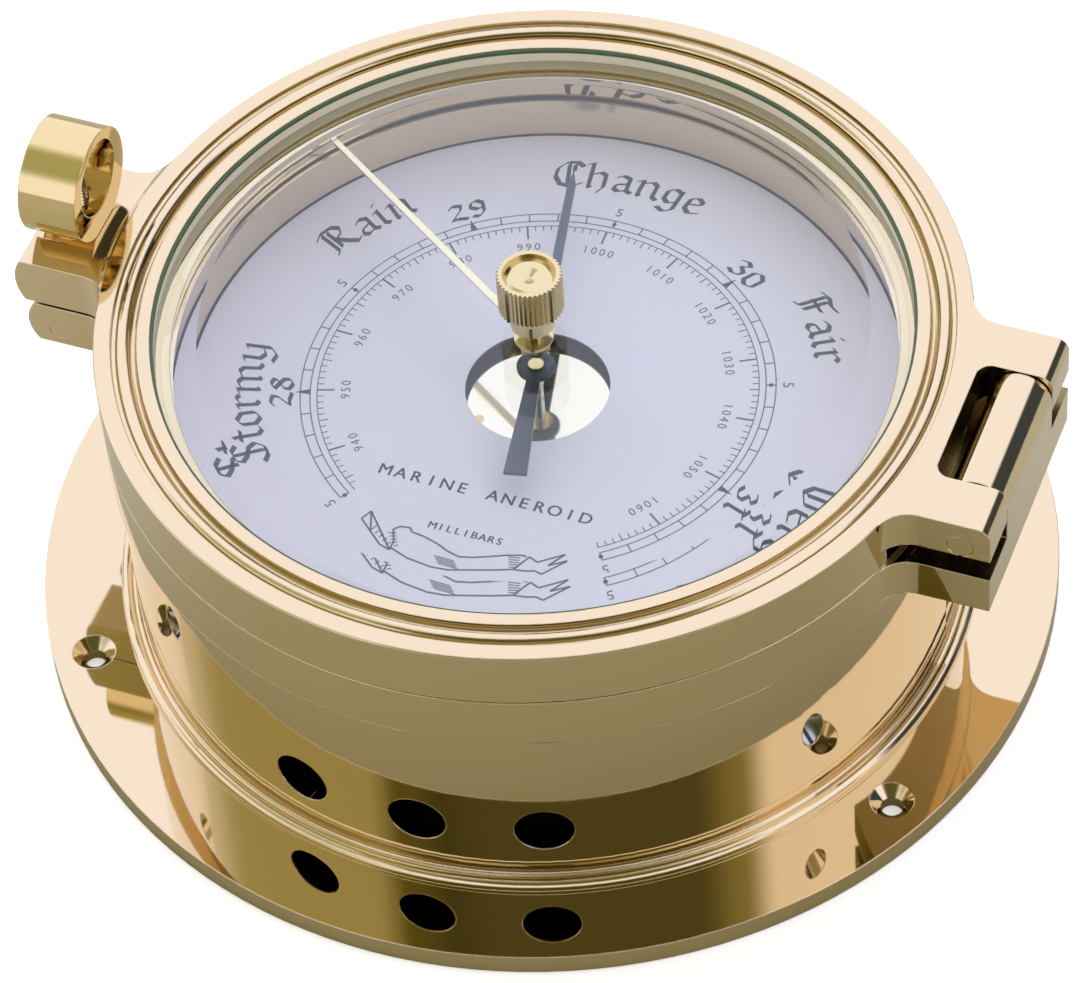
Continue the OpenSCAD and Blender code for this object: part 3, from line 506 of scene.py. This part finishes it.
for k in range(5):
    line((-3.4 + k * .3, -40.9 - k * .35), (.2 + k * .3, -41 - k * .35), 0.2)
    line((8.6 + k * .2, -37.4 - k * .5), (10.6 + k * .1, -37 - k * .5), 0.2)
    line((-12.6 + k * .5, -38.6 - k * .6), (-11.2 + k * .3, -38.2 - k * .6), 0.2)
    line((-15.5 + k * .9, -38.8 - k * .6), (-15 + k * .9, -37.6 - k * .7), 0.2)
piece("dial_print", ink, "case", mat_ink)


# ---------------------------------------------------------------- edge of the glass
def hoop(name, outline, mat, steps=180):
    """Closed ring swept round the dial's axis from an outline of (radius, height)."""
    bm = bmesh.new()
    rows = [[bm.verts.new((*(Vector(polar(r, 360 * i / steps)) * MM), z * MM)) for i in range(steps)]
            for r, z in outline]
    for row, after in zip(rows, rows[1:] + rows[:1]):
        for i in range(steps):
            j = (i + 1) % steps
            bm.faces.new((row[i], row[j], after[j], after[i]))
    return piece(name, bm, "bezel", mat)


# A bead of green sealant over a band of pale packing
SEAT_R = 65.07
hoop("sealant_bead", [(SEAT_R, 62.95), (SEAT_R, 63.6), (64.65, 63.55), (64.55, 62.95)],
     mat_seal)
hoop("packing_band", [(SEAT_R, 60.97), (SEAT_R, 62.9), (64.8, 62.9), (64.7, 60.99)],
     mat_ground)

# ---------------------------------------------------------------- floor and light
floor_mesh = bpy.data.meshes.new("floor")
fb = bmesh.new()
bmesh.ops.create_grid(fb, x_segments=1, y_segments=1, size=6)
fb.to_mesh(floor_mesh)
fb.free()
floor = bpy.data.objects.new("floor", floor_mesh)
bpy.context.scene.collection.objects.link(floor)
floor.location = (0, 0, -0.0002)
m_floor, t_, b_ = principled("floor_paper", (0.40, 0.39, 0.27), 0.0, 0.9, spec=0.0)
# Painted light on the floor: camera rays see a brighter copy, lifted to white by an emission glow; other
# rays see a darker copy, painted darker still in a patch near the front
lp = node(t_, "ShaderNodeLightPath")
lit = node(t_, "ShaderNodeBsdfDiffuse")
lit.inputs["Color"].default_value = (0.92, 0.91, 0.84, 1)
glow = node(t_, "ShaderNodeEmission")
glow.inputs["Color"].default_value = (0.5, 0.5, 0.5, 1)
add = node(t_, "ShaderNodeAddShader")
mix = node(t_, "ShaderNodeMixShader")
t_.links.new(lit.outputs[0], add.inputs[0])
t_.links.new(glow.outputs[0], add.inputs[1])
t_.links.new(lp.outputs["Is Camera Ray"], mix.inputs[0])
tc = node(t_, "ShaderNodeTexCoord")
away = node(t_, "ShaderNodeVectorMath", operation="DISTANCE")
away.inputs[1].default_value = Vector((50, -150, 0)) * MM
fade = node(t_, "ShaderNodeValToRGB")
fade.color_ramp.interpolation = "EASE"
fade.color_ramp.elements[0].position = 0.12
fade.color_ramp.elements[0].color = (0.52, 0.50, 0.33, 1)
fade.color_ramp.elements[1].position = 0.22
fade.color_ramp.elements[1].color = (0.72, 0.70, 0.56, 1)
t_.links.new(tc.outputs["Object"], away.inputs[0])
t_.links.new(away.outputs["Value"], fade.inputs["Fac"])
t_.links.new(fade.outputs["Color"], b_.inputs["Base Color"])
t_.links.new(b_.outputs[0], mix.inputs[1])
t_.links.new(add.outputs[0], mix.inputs[2])
t_.links.new(mix.outputs[0], t_.nodes["Material Output"].inputs["Surface"])
floor_mesh.materials.append(m_floor)

world = bpy.data.worlds.new("studio")
world.use_nodes = True
bpy.context.scene.world = world
wt = world.node_tree
bg = wt.nodes["Background"]
tc = node(wt, "ShaderNodeTexCoord")
sky = None
# Dark patches in the bright room: a direction, then (cosine, colour) from its edge to its middle
PATCHES = (
    ((0.267, -0.6, 0.755), ((0.80, (1.25, 1.27, 1.56)), (0.865, (0.34, 0.33, 0.14)),
                            (0.93, (0.12, 0.12, 0.05)))),
    ((-0.52, -0.36, 0.77), ((0.83, (1, 1, 1)), (0.96, (0.42, 0.42, 0.20)))),
    ((0.76, 0.60, 0.22), ((0.84, (1, 1, 1)), (0.90, (0.05, 0.06, 0.06)))),
)
for direction, stops in PATCHES:
    dot = node(wt, "ShaderNodeVectorMath", operation="DOT_PRODUCT")
    dot.inputs[1].default_value = Vector(direction).normalized()
    ramp = node(wt, "ShaderNodeValToRGB")
    ramp.color_ramp.interpolation = "EASE"
    els = ramp.color_ramp.elements
    els[0].position, els[0].color = stops[0][0], (*stops[0][1], 1)
    els[1].position, els[1].color = stops[-1][0], (*stops[-1][1], 1)
    for where, color in stops[1:-1]:
        els.new(where).color = (*color, 1)
    wt.links.new(tc.outputs["Generated"], dot.inputs[0])
    wt.links.new(dot.outputs["Value"], ramp.inputs["Fac"])
    if sky is None:
        sky = ramp.outputs["Color"]
    else:
        mul = node(wt, "ShaderNodeVectorMath", operation="MULTIPLY")
        wt.links.new(sky, mul.inputs[0])
        wt.links.new(ramp.outputs["Color"], mul.inputs[1])
        sky = mul.outputs["Vector"]
wt.links.new(sky, bg.inputs["Color"])
bg.inputs["Strength"].default_value = 1.0
bpy.context.scene.view_settings.view_transform = "Standard"
